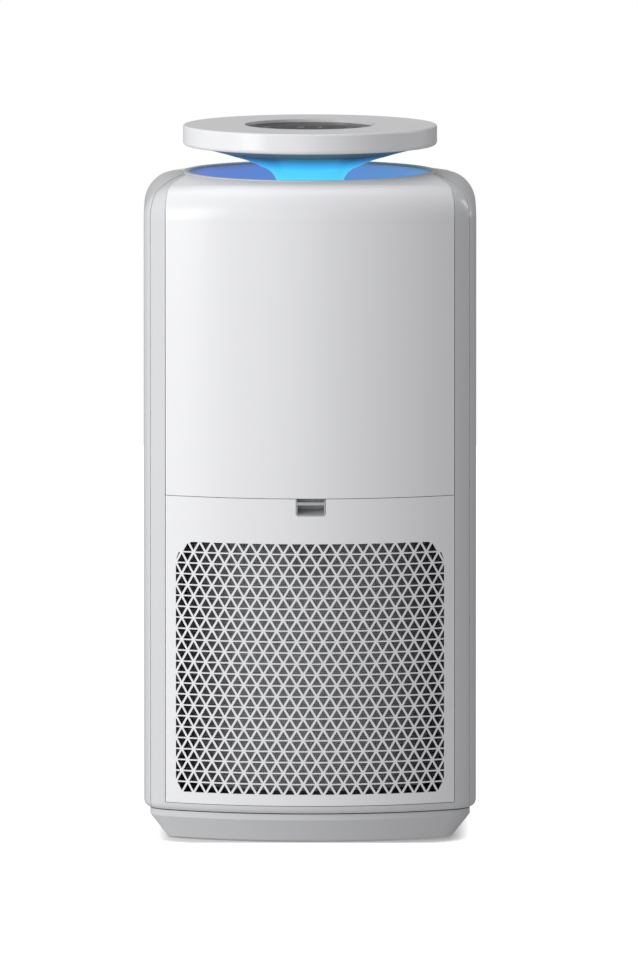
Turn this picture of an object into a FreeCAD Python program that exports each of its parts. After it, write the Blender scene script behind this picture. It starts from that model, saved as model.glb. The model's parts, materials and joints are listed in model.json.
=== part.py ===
import FreeCAD, Part
import math
import os
import Sketcher
from FreeCAD import Vector as V, Placement, Rotation

os.makedirs("parts", exist_ok=True)
doc = FreeCAD.newDocument("purifier")
sheet = doc.addObject("Spreadsheet::Sheet", "dims")

# ---------------------------------------------------------------- dimensions
# All in millimetres, +Z up, the front of the object faces -Y, floor at z = 0.
DIMS = {
    # plan outline: bowed front and back, flat sides, round corners
    "half_width": 120.0, "bow_radius": 195.8, "corner_radius": 34.0,
    "body_bottom": 22.0, "body_blank_top": 505.0, "bottom_round": 5.5,
    "shoulder_round": 24.0, "dome_apex": 490.7, "dome_slope": 0.16,
    "wall": 2.5, "panel_flange": 8.0, "flange_thick": 2.0,
    "post_inset": 0.5, "post_wall": 4.0, "side_inset": 0.3,
    "mouth_radius": 92.0,
    # front and rear openings of the frame
    "opening_half": 104.1, "panel_half": 103.8, "crease_half": 115.0,
    "opening_low": 27.6, "panel_low": 28.0, "opening_round": 17.0,
    "opening_round_z": 459.0, "seam_low": 249.5, "seam_high": 249.85,
    # air inlet lattice
    "lattice_top": 217.5, "lattice_rows": 23.0, "row_pitch": 7.91,
    "node_pitch": 9.607, "lattice_cols": 21.0, "lattice_bar": 1.5,
    "lattice_rail": 0.95, "lattice_corner": 17.0, "lattice_low_corner": 9.5,
    # head
    "disc_radius": 91.7, "disc_top_z": 510.0, "glass_radius": 46.6,
}


def add_cell(alias, value):
    if alias in DIMS and alias in CELL_OF:
        return alias
    row = len(CELL_OF) + 1
    col = "B"
    sheet.set("A%d" % row, "'" + alias)
    sheet.set("%s%d" % (col, row), repr(float(value)))
    sheet.setAlias("%s%d" % (col, row), alias)
    CELL_OF[alias] = row
    DIMS[alias] = float(value)
    return alias


CELL_OF = {}
for _k in list(DIMS):
    add_cell(_k, DIMS[_k])
doc.recompute()


def D(alias):
    return DIMS[alias]


# ---------------------------------------------------------------- helpers
made = []          # (node name, document object)


def emit(name, obj):
    obj.Label = name
    made.append((name, obj))
    return obj


def new_body(name):
    return doc.addObject("PartDesign::Body", name)


def settle(*features):
    """Computes these features alone, so that their edges can be picked for a fillet."""
    for f in features:
        f.recompute()


def origin_plane(body, role):
    for f in body.Origin.OriginFeatures:
        if f.Role == role:
            return f


def new_sketch(body, name, role="XY_Plane", off=None):
    sk = body.newObject("Sketcher::SketchObject", name)
    sk.AttachmentSupport = [(origin_plane(body, role), "")]
    sk.MapMode = "FlatFace"
    if off is not None:
        alias = add_cell("lvl_" + name.lower(), off)
        sheet.recompute()
        sk.AttachmentOffset = Placement(V(0, 0, off), Rotation())
        sk.setExpression("AttachmentOffset.Base.z", "dims." + alias)
    return sk


def draw(sk, pts, arcs=None, key=None):
    """Closed profile through pts; arcs maps a segment index to a point on its arc."""
    arcs = arcs or {}
    key = (key or sk.Name).lower()
    n = len(pts)
    ids, st, en = [], [], []
    for i in range(n):
        a, b = V(pts[i][0], pts[i][1], 0), V(pts[(i + 1) % n][0], pts[(i + 1) % n][1], 0)
        turned = False
        if i in arcs:
            m = V(arcs[i][0], arcs[i][1], 0)
            turned = (m - a).cross(b - m).z < 0      # every arc is drawn anticlockwise
            g = Part.Arc(b, m, a) if turned else Part.Arc(a, m, b)
        else:
            g = Part.LineSegment(a, b)
        ids.append(sk.addGeometry(g))
        st.append(2 if turned else 1)
        en.append(1 if turned else 2)
    cons, expr = [], []
    for i in range(n):
        j = (i + 1) % n
        cons.append(Sketcher.Constraint("Coincident", ids[i], en[i], ids[j], st[j]))
    for i in range(n):
        for axis, val, lock in (("x", pts[i][0], -2), ("y", pts[i][1], -1)):
            if abs(val) < 1e-7:
                cons.append(Sketcher.Constraint("PointOnObject", ids[i], st[i], lock))
                continue
            kind = "DistanceX" if axis == "x" else "DistanceY"
            if val > 0:
                cons.append(Sketcher.Constraint(kind, -1, 1, ids[i], st[i], val))
            else:
                cons.append(Sketcher.Constraint(kind, ids[i], st[i], -1, 1, -val))
            expr.append((len(cons) - 1, add_cell("%s_%s_%d" % (key, axis, i), abs(val))))
        if i in arcs:
            rad = sk.Geometry[ids[i]].Radius
            cons.append(Sketcher.Constraint("Radius", ids[i], rad))
            expr.append((len(cons) - 1, add_cell("%s_arc_%d" % (key, i), rad)))
    base = sk.ConstraintCount
    sk.addConstraint(cons)
    sheet.recompute()
    for k, alias in expr:
        sk.setExpression("Constraints[%d]" % (base + k), "dims." + alias)
    return sk


def ring_circle(sk, x, y, r, key):
    gid = sk.addGeometry(Part.Circle(V(x, y, 0), V(0, 0, 1), r))
    base = sk.ConstraintCount
    cons = [Sketcher.Constraint("Radius", gid, r)]
    names = [add_cell(key + "_rad", r)]
    for kind, val, lock, nm in (("DistanceX", x, -2, "_cx"), ("DistanceY", y, -1, "_cy")):
        if abs(val) < 1e-7:
            cons.append(Sketcher.Constraint("PointOnObject", gid, 3, lock))
            names.append(None)
        elif val > 0:
            cons.append(Sketcher.Constraint(kind, -1, 1, gid, 3, val))
            names.append(add_cell(key + nm, val))
        else:
            cons.append(Sketcher.Constraint(kind, gid, 3, -1, 1, -val))
            names.append(add_cell(key + nm, -val))
    sk.addConstraint(cons)
    sheet.recompute()
    for i, nm in enumerate(names):
        if nm:
            sk.setExpression("Constraints[%d]" % (base + i), "dims." + nm)


def revolved(name, pts, arcs=None):
    """Turned piece: a half section in the XZ plane spun about the Z axis."""
    body = new_body(name)
    sk = draw(new_sketch(body, name + "_section", "XZ_Plane"), pts, arcs)
    rv = body.newObject("PartDesign::Revolution", name + "_turned")
    rv.Profile = sk
    rv.ReferenceAxis = (sk, ["V_Axis"])
    rv.Angle = 360.0
    return body


def padded(name, pts, z0, height, arcs=None, role="XY_Plane", reverse=False):
    body = new_body(name)
    sk = draw(new_sketch(body, name + "_plan", role, z0), pts, arcs)
    pad = body.newObject("PartDesign::Pad", name + "_pad")
    pad.Profile = sk
    pad.Length = height
    alias = add_cell(name.lower() + "_len", height)
    sheet.recompute()
    pad.setExpression("Length", "dims." + alias)
    pad.Reversed = reverse
    return body


def rounds(name, spots, z0, height):
    """Identical upright round pieces, one pad for all."""
    body = new_body(name)
    sk = new_sketch(body, name + "_plan", "XY_Plane", z0)
    for i, (x, y, r) in enumerate(spots):
        ring_circle(sk, x, y, r, "%s_%d" % (name.lower(), i))
    pad = body.newObject("PartDesign::Pad", name + "_pad")
    pad.Profile = sk
    pad.Length = height
    alias = add_cell(name.lower() + "_len", height)
    sheet.recompute()
    pad.setExpression("Length", "dims." + alias)
    return body


def rect(x0, y0, x1, y1):
    return [(x0, y0), (x1, y0), (x1, y1), (x0, y1)]


def box(name, x0, y0, z0, x1, y1, z1):
    b = doc.addObject("Part::Box", name)
    for prop, val in (("Length", x1 - x0), ("Width", y1 - y0), ("Height", z1 - z0)):
        alias = add_cell("%s_%s" % (name.lower(), prop.lower()), val)
        setattr(b, prop, val)
        sheet.recompute()
        b.setExpression(prop, "dims." + alias)
    b.Placement = Placement(V(x0, y0, z0), Rotation())
    return b


def cyl(name, r, z0, height, x=0.0, y=0.0):
    c = doc.addObject("Part::Cylinder", name)
    for prop, val in (("Radius", r), ("Height", height)):
        alias = add_cell("%s_%s" % (name.lower(), prop.lower()), val)
        setattr(c, prop, val)
        sheet.recompute()
        c.setExpression(prop, "dims." + alias)
    c.Placement = Placement(V(x, y, z0), Rotation())
    return c


def cut(name, base, *tools):
    for i, tool in enumerate(tools):
        last = i == len(tools) - 1
        c = doc.addObject("Part::Cut", name if last else "%s_cut%d" % (name, i))
        c.Base, c.Tool = base, tool
        base = c
    return base


def common(name, a, b):
    c = doc.addObject("Part::Common", name)
    c.Base, c.Tool = a, b
    return c


def fuse(name, shapes, refine=True):
    f = doc.addObject("Part::MultiFuse", name)
    f.Shapes = shapes
    f.Refine = refine
    return f


def plan_outline(sk, inset):
    """The body's plan at an inward offset, drawn with its real tangencies."""
    W, R, C = D("half_width"), D("bow_radius"), D("corner_radius")
    w, r, c = W - inset, R - inset, C - inset
    ca = R - W                       # bow centres lie on the Y axis
    cx = W - C
    cy = math.sqrt((R - C) ** 2 - cx ** 2) - ca
    ux, uy = cx / (R - C), (cy + ca) / (R - C)
    tx, ty = ux * r, uy * r - ca     # tangent point, front right quadrant (y down)
    g = []

    def arc(x, y, rad, p, m, q):
        return sk.addGeometry(Part.Arc(V(p[0], p[1], 0), V(m[0], m[1], 0), V(q[0], q[1], 0)))

    mid = math.atan2(uy, ux) / 2
    mx, my = cx + c * math.cos(mid), cy + c * math.sin(mid)
    front = arc(0, ca, r, (-tx, -ty), (0, -w), (tx, -ty))
    fr = arc(cx, -cy, c, (tx, -ty), (mx, -my), (w, -cy))
    right = sk.addGeometry(Part.LineSegment(V(w, -cy, 0), V(w, cy, 0)))
    br = arc(cx, cy, c, (w, cy), (mx, my), (tx, ty))
    back = arc(0, -ca, r, (tx, ty), (0, w), (-tx, ty))
    bl = arc(-cx, cy, c, (-tx, ty), (-mx, my), (-w, cy))
    left = sk.addGeometry(Part.LineSegment(V(-w, cy, 0), V(-w, -cy, 0)))
    fl = arc(-cx, -cy, c, (-w, -cy), (-mx, -my), (-tx, -ty))
    loop = [front, fr, right, br, back, bl, left, fl]
    K = Sketcher.Constraint
    cons = [K("Tangent", loop[i], 2, loop[(i + 1) % 8], 1) for i in range(8)]
    cons += [K("PointOnObject", front, 3, -2), K("PointOnObject", back, 3, -2),
             K("Vertical", right), K("Vertical", left),
             K("Equal", front, back), K("Equal", fr, br), K("Equal", fr, bl), K("Equal", fr, fl)]
    base = len(cons)
    cons += [K("DistanceY", -1, 1, front, 3, ca), K("DistanceY", back, 3, -1, 1, ca),
             K("Radius", front, r), K("Radius", fr, c),
             K("DistanceX", -1, 1, right, 1, w), K("DistanceX", left, 1, -1, 1, w)]
    sk.addConstraint(cons)
    alias = add_cell("inset_" + sk.Name.lower(), inset)
    sheet.recompute()
    ins = "dims." + alias
    for k, e in enumerate(("dims.bow_radius - dims.half_width", "dims.bow_radius - dims.half_width",
                           "dims.bow_radius - " + ins, "dims.corner_radius - " + ins,
                           "dims.half_width - " + ins, "dims.half_width - " + ins)):
        sk.setExpression("Constraints[%d]" % (base + k), e)
    return sk


def form(name, inset, through=False):
    """Solid of the whole body at an inward offset: outline pad, domed top, rounded edges.
    A through form runs out below the body, so that cutting with it leaves no floor."""
    body = new_body(name)
    z0 = D("body_bottom") + (inset if inset > 1.0 else 0.0)
    if through:
        z0 = 10.0
    sk = plan_outline(new_sketch(body, name + "_plan", "XY_Plane", z0), inset)
    pad = body.newObject("PartDesign::Pad", name + "_pad")
    pad.Profile = sk
    pad.Length = D("body_blank_top") - z0
    alias = add_cell(name.lower() + "_len", D("body_blank_top") - z0)
    sheet.recompute()
    pad.setExpression("Length", "dims." + alias)
    za = D("dome_apex") - inset * math.sqrt(1 + D("dome_slope") ** 2)
    far = 180.0
    sd = draw(new_sketch(body, name + "_dome", "XZ_Plane"),
              [(0, za), (far, za - far * D("dome_slope")), (far, 540), (0, 540)])
    gr = body.newObject("PartDesign::Groove", name + "_domed")
    gr.Profile = sd
    gr.ReferenceAxis = (sd, ["V_Axis"])
    gr.Angle = 360.0
    settle(sk, pad, sd, gr)
    shp = gr.Shape
    top, low = [], []
    for i, e in enumerate(shp.Edges):
        bb = e.BoundBox
        mid = e.valueAt((e.FirstParameter + e.LastParameter) / 2)
        if bb.ZMin > 440 and math.hypot(mid.x, mid.y) > 100 and bb.DiagonalLength > 5:
            top.append("Edge%d" % (i + 1))
        if bb.ZMax < z0 + 0.01:
            low.append("Edge%d" % (i + 1))
    fi = body.newObject("PartDesign::Fillet", name + "_shoulder")
    fi.Base = (gr, top)
    fi.Radius = D("shoulder_round") - inset
    fi.setExpression("Radius", "dims.shoulder_round - dims.inset_" + (name + "_plan").lower())
    settle(fi)
    rb = D("bottom_round") - inset
    if rb > 0.9 and not through:
        low = []
        for i, e in enumerate(fi.Shape.Edges):
            if e.BoundBox.ZMax < z0 + 0.01:
                low.append("Edge%d" % (i + 1))
        fb = body.newObject("PartDesign::Fillet", name + "_foot")
        fb.Base = (fi, low)
        fb.Radius = rb
        fb.setExpression("Radius", "dims.bottom_round - dims.inset_" + (name + "_plan").lower())
    return body



# ---------------------------------------------------------------- master forms
f_outer = form("skin_outer", 0.0)
f_panel_in = form("skin_panel_inner", D("wall"), True)
f_flange_in = form("skin_flange_inner", D("panel_flange"), True)
f_side_out = form("skin_side_outer", D("side_inset"))
f_side_in = form("skin_side_inner", D("side_inset") + D("wall"))
f_post_out = form("skin_post_outer", D("post_inset"))
f_post_in = form("skin_post_inner", D("post_wall"))
f_plate = form("skin_plate", 3.4)
f_deck = form("skin_deck", 9.0, True)
f_pull = form("skin_pull", 0.35)
f_lip = form("skin_side_lip", 8.0, True)

PH = D("panel_half")
FT = D("flange_thick")


def opening_plan(half, sign, g):
    """Plan of the front (sign -1) or rear (+1) panel zone: straight to the column edges,
    then drawn in over the shoulder to the mouth."""
    p = [(-half, 130), (-half, 88), (-88 - g, 25 - g), (-60, 20), (60, 20), (88 + g, 25 - g), (half, 88), (half, 130)]
    m = {1: (-(96.4 + g), 52), 5: (96.4 + g, 52)}
    return [(x, sign * y) for x, y in p], {k: (a, sign * b) for k, (a, b) in m.items()}


def side_plan(sign, g):
    X, xr = D("crease_half") + g, 90.5 + g
    p = [(X, -130), (X, -79), (xr, -15), (xr, 15), (X, 79), (X, 130), (150, 130), (150, -130)]
    return [(sign * x, y) for x, y in p]


def flange_core(name, low, high, length=260.0):
    """Hollow behind a panel: leaves a return flange on its straight edges only."""
    a = PH - FT
    if high is None:
        pts = [(-a, low + FT), (a, low + FT), (a, 448), (125, 448), (125, 600), (-125, 600), (-125, 448), (-a, 448)]
    else:
        pts = rect(-a, low + FT, a, high - FT)
    return padded(name, pts, -130.0, length, None, "XZ_Plane")


def mouth(tag):
    return cyl("mouth_" + tag, D("mouth_radius"), 430.0, 90.0)


def boxes(name, items):
    """Compound of plain boxes given as corner pairs."""
    f = doc.addObject("Part::Feature", name)
    f.Shape = Part.makeCompound([Part.makeBox(b[3] - b[0], b[4] - b[1], b[5] - b[2], V(b[0], b[1], b[2])) for b in items])
    f.Placement = Placement(V(0, 0, 0), Rotation())
    return f


# ---------------------------------------------------------------- outer panels
zp, za = opening_plan(PH, -1, 0.0)
zone = padded("front_zone", zp, D("seam_high"), 230.0, za)
skin = cut("flanged_skin", f_outer, f_flange_in)
blank = common("upper_blank", skin, zone)
hollow = common("upper_hollow", f_panel_in, flange_core("upper_core", D("seam_high"), None))
emit("front_upper_panel", cut("front_upper_panel", blank, hollow, mouth("front")))

zp, za = opening_plan(PH, 1, 0.0)
zone = padded("rear_zone", zp, D("panel_low"), 452.0, za)
blank = common("rear_blank", cut("rear_skin", f_outer, f_flange_in), zone)
hollow = common("rear_hollow", f_panel_in, flange_core("rear_core", D("panel_low"), None))
rear_slots = boxes("rear_slots", [(-84.0 + 25.0 * c, 90.0, 56.0 + 11.0 * r, -66.0 + 25.0 * c, 125.0, 60.0 + 11.0 * r)
                                  for c in range(7) for r in range(14)])
socket_window = box("socket_window", -50.3, 90.0, 32.7, -29.7, 125.0, 47.3)
emit("rear_panel", cut("rear_panel", blank, hollow, mouth("rear"), rear_slots, socket_window))

side_skin = cut("side_skin", f_side_out, f_side_in, f_lip)
for label, sg in (("left", -1), ("right", 1)):
    zone = padded("side_zone_" + label, side_plan(sg, 0.0), 0.0, 520.0)
    part = cut("side_blank_" + label if sg > 0 else "side_panel_left",
               common("side_common_" + label, side_skin, zone), mouth(label))
    if sg > 0:
        vents = boxes("sensor_vents", [(110.0, 30.0 + i * 5.0, 276.0, 125.0, 32.0 + i * 5.0, 296.0) for i in range(5)])
        part = cut("side_panel_right", part, vents)
    emit("side_panel_" + label, part)

# ---------------------------------------------------------------- filter cover
cover_zone = padded("cover_zone", [(-PH, -130), (PH, -130), (PH, -60), (-PH, -60)], D("panel_low"),
                    D("seam_low") - D("panel_low"))
cover_blank = cut("cover_blank", common("cover_flanged", cut("cover_skin", f_outer, f_flange_in), cover_zone),
                  common("cover_hollow", f_panel_in, flange_core("cover_core", D("panel_low"), D("seam_low"))))
grip_win = padded("grip_window", [(-10.2, 251.0), (-10.2, 239.4), (-8.0, 237.2), (9.2, 237.2), (11.4, 239.4), (11.4, 251.0)],
                  105.0, 20.0, {1: (-9.556, 237.844), 3: (10.756, 237.844)}, "XZ_Plane")
cover_extras = boxes("cover_extras", [(-80.0, -104.0, 30.4, -64.0, -84.0, 33.4), (64.0, -104.0, 30.4, 80.0, -84.0, 33.4),
                                      (-92.0, -106.0, 240.2, -78.0, -92.0, 247.6), (78.0, -106.0, 240.2, 92.0, -92.0, 247.6)])
cover_full = fuse("cover_full", [cut("cover_open", cover_blank, grip_win), common("cover_lugs", cover_extras, f_outer)])


def lattice_holes():
    """Triangular openings of the air inlet, laid out along the bowed face and clipped to a
    rounded field. Returned as one compound of prisms that pass through the face along Y."""
    R = D("bow_radius")
    w, h, bar, rail = D("node_pitch"), D("row_pitch"), D("lattice_bar"), D("lattice_rail")
    top, n_rows = D("lattice_top"), int(D("lattice_rows"))
    low = top - n_rows * h
    hx, hz, zc = D("lattice_cols") * w / 2, n_rows * h / 2, (top + top - n_rows * h) / 2
    edge = []
    for k, (sx, sz) in enumerate(((1, -1), (1, 1), (-1, 1), (-1, -1))):
        rc = D("lattice_corner") if sz > 0 else D("lattice_low_corner")
        cx, cz = sx * (hx - rc), zc + sz * (hz - rc)
        for j in range(7):
            a = math.radians((-90, 0, 90, 180)[k] + j * 15)
            edge.append((cx + rc * math.cos(a), cz + rc * math.sin(a)))

    def clip(poly):
        out = poly
        for i in range(len(edge)):
            (ax, az), (bx, bz) = edge[i], edge[(i + 1) % len(edge)]
            ex, ez = bx - ax, bz - az
            if abs(ex) + abs(ez) < 1e-9:
                continue
            new = []
            for j in range(len(out)):
                P, Q = out[j], out[(j + 1) % len(out)]
                dp = ex * (P[1] - az) - ez * (P[0] - ax)
                dq = ex * (Q[1] - az) - ez * (Q[0] - ax)
                if dp >= 0:
                    new.append(P)
                if (dp >= 0) != (dq >= 0):
                    f = dp / (dp - dq)
                    new.append((P[0] + f * (Q[0] - P[0]), P[1] + f * (Q[1] - P[1])))
            out = new
            if len(out) < 3:
                return []
        res = []
        for P in out:
            if not res or math.hypot(P[0] - res[-1][0], P[1] - res[-1][1]) > 0.05:
                res.append(P)
        if len(res) > 2 and math.hypot(res[0][0] - res[-1][0], res[0][1] - res[-1][1]) <= 0.05:
            res.pop()
        return res

    def area(p):
        return 0.5 * sum(p[i][0] * p[(i + 1) % len(p)][1] - p[(i + 1) % len(p)][0] * p[i][1] for i in range(len(p)))

    def shrink(tri):
        out = []
        for i in range(3):
            A, B, C = tri[i - 1], tri[i], tri[(i + 1) % 3]
            ln = []
            for P, Q in ((A, B), (B, C)):
                ex, ez = Q[0] - P[0], Q[1] - P[1]
                L = math.hypot(ex, ez)
                d = (rail if abs(ez) < 0.01 else bar) / 2
                ox, oz = -ez / L * d, ex / L * d
                ln.append((P[0] + ox, P[1] + oz, Q[0] + ox, Q[1] + oz))
            (x1, y1, x2, y2), (x3, y3, x4, y4) = ln
            den = (x1 - x2) * (y3 - y4) - (y1 - y2) * (x3 - x4)
            out.append((((x1 * y2 - y1 * x2) * (x3 - x4) - (x1 - x2) * (x3 * y4 - y3 * x4)) / den,
                        ((x1 * y2 - y1 * x2) * (y3 - y4) - (y1 - y2) * (x3 * y4 - y3 * x4)) / den))
        return out

    prisms = []
    for r in range(n_rows):
        z1 = top - r * h
        z0 = z1 - h
        off = 0.0 if r % 2 == 0 else w / 2
        for k in range(-13, 14):
            for tri in ([(k * w + off - w / 2, z1), (k * w + off, z0), (k * w + off + w / 2, z1)],
                        [(k * w + off, z0), (k * w + off + w, z0), (k * w + off + w / 2, z1)]):
                if area(tri) < 0:
                    tri = tri[::-1]
                q = clip(shrink(tri))
                if len(q) < 3 or abs(area(q)) < 3.0:
                    continue
                pts = [V(R * math.sin(s / R), -135.0, z) for s, z in q]
                pts.append(pts[0])
                prisms.append(Part.Face(Part.makePolygon(pts)).extrude(V(0, 60, 0)))
    return Part.makeCompound(prisms)


holes = doc.addObject("Part::Feature", "inlet_lattice")
holes.Shape = lattice_holes()
holes.Placement = Placement(V(0, 0, 0), Rotation())

# the lattice field is a plate of its own, flush in a rounded window of the cover
_hx = D("lattice_cols") * D("node_pitch") / 2 + 3.0
_wx = D("bow_radius") * math.sin(_hx / D("bow_radius"))
_wt = D("lattice_top") + 3.0
_wb = D("lattice_top") - int(D("lattice_rows")) * D("row_pitch") - 3.0
_wr = D("lattice_corner") + 3.0
_wl = D("lattice_low_corner") + 3.0
_wk, _wj = _wr * (1 - math.sqrt(0.5)), _wl * (1 - math.sqrt(0.5))
grille_window = padded("grille_window",
                       [(-_wx + _wr, _wt), (-_wx, _wt - _wr), (-_wx, _wb + _wl), (-_wx + _wl, _wb),
                        (_wx - _wl, _wb), (_wx, _wb + _wl), (_wx, _wt - _wr), (_wx - _wr, _wt)],
                       80.0, 50.0, {0: (-_wx + _wk, _wt - _wk), 2: (-_wx + _wj, _wb + _wj),
                                    4: (_wx - _wj, _wb + _wj), 6: (_wx - _wk, _wt - _wk)}, "XZ_Plane")
emit("filter_cover", cut("filter_cover", cover_full, grille_window))
emit("inlet_grille", cut("inlet_grille", common("grille_blank", cover_full, grille_window), holes))

# finger pull set into the cover's upper edge: a set-back shelf, a tab to hook behind and a ramp below it
pull_core = padded("pull_core", [(-10.0, 249.3), (-10.0, 239.4), (-8.0, 237.4), (9.2, 237.4), (11.2, 239.4), (11.2, 249.3)],
                   104.0, 15.9, {1: (-9.414, 237.986), 3: (10.614, 237.986)}, "XZ_Plane")
pull_block = fuse("pull_block", [pull_core, box("pull_flange", -13.0, -116.6, 235.0, 14.2, -115.2, 247.0)])
pull_scoop = padded("pull_scoop", [(-125.0, 238.1), (-119.4, 238.1), (-107.5, 241.5), (-107.5, 245.0), (-125.0, 245.0)],
                    -8.9, 19.0, None, "YZ_Plane")
pull_shelf = box("pull_shelf", -9.2, -125.0, 247.2, 10.4, -112.5, 250.0)
emit("finger_pull", common("finger_pull", cut("pull_hollow", pull_block, pull_scoop, pull_shelf), f_pull))
emit("cover_magnets", boxes("cover_magnets", [(-89.0, -91.9, 240.9, -81.0, -89.9, 246.9), (81.0, -91.9, 240.9, 89.0, -89.9, 246.9)]))

# ---------------------------------------------------------------- base
def tapered(name, lo_inset, lo_z, hi_inset, hi_z, top_z):
    body = new_body(name)
    a = plan_outline(new_sketch(body, name + "_low", "XY_Plane", lo_z), lo_inset)
    b = plan_outline(new_sketch(body, name + "_high", "XY_Plane", hi_z), hi_inset)
    loft = body.newObject("PartDesign::AdditiveLoft", name + "_taper")
    loft.Profile = a
    loft.Sections = [b]
    loft.Ruled = True
    c = plan_outline(new_sketch(body, name + "_rim", "XY_Plane", hi_z), hi_inset)
    pad = body.newObject("PartDesign::Pad", name + "_band")
    pad.Profile = c
    pad.Length = top_z - hi_z
    return body


BS = [(78.0, 66.0), (-78.0, 66.0), (78.0, -66.0), (-78.0, -66.0)]
FEET = [(80.0, 42.0), (-80.0, 42.0), (80.0, -42.0), (-80.0, -42.0)]
BRD = [(-52.0, 8.0), (42.0, 8.0), (-52.0, 62.0), (42.0, 62.0)]
base_solid = fuse("base_solid", [
    cut("base_shell", tapered("base_outer", 17.3, 1.2, 4.7, 17.0, 21.5), tapered("base_inner", 20.5, 4.2, 7.6, 17.0, 30.0)),
    rounds("base_bosses", [(x, y, 7.0) for x, y in BS], 3.0, 19.0),
    rounds("board_posts", [(x, y, 3.0) for x, y in BRD], 3.5, 3.5),
    rounds("foot_pads", [(x, y, 11.0) for x, y in FEET], 3.6, 2.2)])
emit("base_skirt", cut("base_skirt", base_solid,
                       rounds("foot_recess", [(x, y, 9.2) for x, y in FEET], 0.0, 3.4),
                       rounds("base_counterbore", [(x, y, 4.2) for x, y in BS], 0.0, 8.0),
                       rounds("base_screw_way", [(x, y, 2.0) for x, y in BS], 0.0, 30.0)))
emit("rubber_feet", rounds("rubber_feet", [(x, y, 9.0) for x, y in FEET], 0.0, 3.4))


def screws(name, spots, r_head, z_head, h_head, r_shank, z_shank, l_shank):
    f = doc.addObject("Part::Feature", name)
    out = []
    for x, y in spots:
        head = Part.makeCylinder(r_head, h_head, V(x, y, z_head))
        shank = Part.makeCylinder(r_shank, l_shank, V(x, y, z_shank))
        body = head.fuse(shank)
        cx = Part.makeBox(r_head * 1.2, 0.8, 1.0, V(x - r_head * 0.6, y - 0.4, z_head if z_shank >= z_head else z_head + h_head - 1.0))
        cy = Part.makeBox(0.8, r_head * 1.2, 1.0, V(x - 0.4, y - r_head * 0.6, z_head if z_shank >= z_head else z_head + h_head - 1.0))
        out.append(body.cut(cx.fuse(cy)).removeSplitter().Solids[0])
    f.Shape = Part.makeCompound(out)
    f.Placement = Placement(V(0, 0, 0), Rotation())
    return f


emit("base_screws", screws("base_screws", BS, 3.6, 5.4, 2.6, 1.95, 8.0, 19.2))
emit("power_board", cut("power_board", box("power_board_blank", -58.0, 2.0, 7.0, 48.0, 68.0, 8.6),
                        rounds("board_holes", [(x, y, 1.6) for x, y in BRD], 6.0, 4.0)))
pc = doc.addObject("Part::Feature", "power_components")
pc.Shape = Part.makeCompound([Part.makeBox(24, 20, 10.5, V(-44, 20, 8.6)), Part.makeCylinder(5.5, 11.0, V(-6, 26, 8.6)),
                              Part.makeCylinder(5.5, 11.0, V(-6, 40, 8.6)), Part.makeBox(12, 14, 9, V(12, 18, 8.6)),
                              Part.makeBox(20, 3, 9.5, V(14, 44, 8.6)), Part.makeBox(10, 8, 6, V(32, 26, 8.6)),
                              Part.makeCylinder(3.2, 8.0, V(0, 12, 8.6)), Part.makeBox(16, 6, 5.5, V(-42, 50, 8.6))])
pc.Placement = Placement(V(0, 0, 0), Rotation())
emit("power_components", pc)

# ---------------------------------------------------------------- chassis
fo, foa = opening_plan(D("opening_half"), -1, 0.3)
ro, roa = opening_plan(D("opening_half"), 1, 0.3)
frame_skin = cut("frame_skin", f_post_out, f_post_in,
                 padded("frame_front_way", fo, D("opening_low"), 480.0, foa),
                 padded("frame_rear_way", ro, D("opening_low"), 480.0, roa),
                 padded("frame_left_way", side_plan(-1, -0.1), 0.0, 520.0),
                 padded("frame_right_way", side_plan(1, -0.1), 0.0, 520.0),
                 mouth("frame"))
plate = common("floor_plate", f_plate, box("floor_slab", -125.0, -125.0, 20.0, 125.0, 125.0, 27.6))
ribs = common("post_ribs", boxes("rib_blanks", [(sx * 104.1 if sx > 0 else -107.1, sy * 69.0 if sy > 0 else -89.0, 25.4,
                                                 107.1 if sx > 0 else -104.1, 89.0 if sy > 0 else -69.0, 474.0)
                                                for sx in (1, -1) for sy in (1, -1)]), f_plate)
LED = [(sx, sy) for sx in (1, -1) for sy in (1, -1)]
ledges = boxes("deck_ledges", [(97.0 if sx > 0 else -105.0, 68.0 if sy > 0 else -79.0, 228.0,
                                105.0 if sx > 0 else -97.0, 79.0 if sy > 0 else -68.0, 236.0) for sx, sy in LED])
ring = revolved("mouth_ring", [(88.7, 467.5), (97.5, 467.5), (97.5, 471.6), (91.0, 472.1), (88.7, 472.1)])
DS = [(sx * 100.5, sy * 73.5) for sx, sy in LED]
chassis = fuse("chassis_solid", [frame_skin, plate, ribs, ledges, ring])
emit("chassis_frame", cut("chassis_frame", chassis,
                          boxes("cover_way", [(102.0, -90.0, 27.6, 104.1, -84.9, 250.2), (-104.1, -90.0, 27.6, -102.0, -84.9, 250.2)]),
                          rounds("chassis_screw_holes", [(x, y, 1.95) for x, y in BS], 20.0, 10.0),
                          rounds("ledge_holes", [(x, y, 1.5) for x, y in DS], 227.0, 12.0)))

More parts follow.
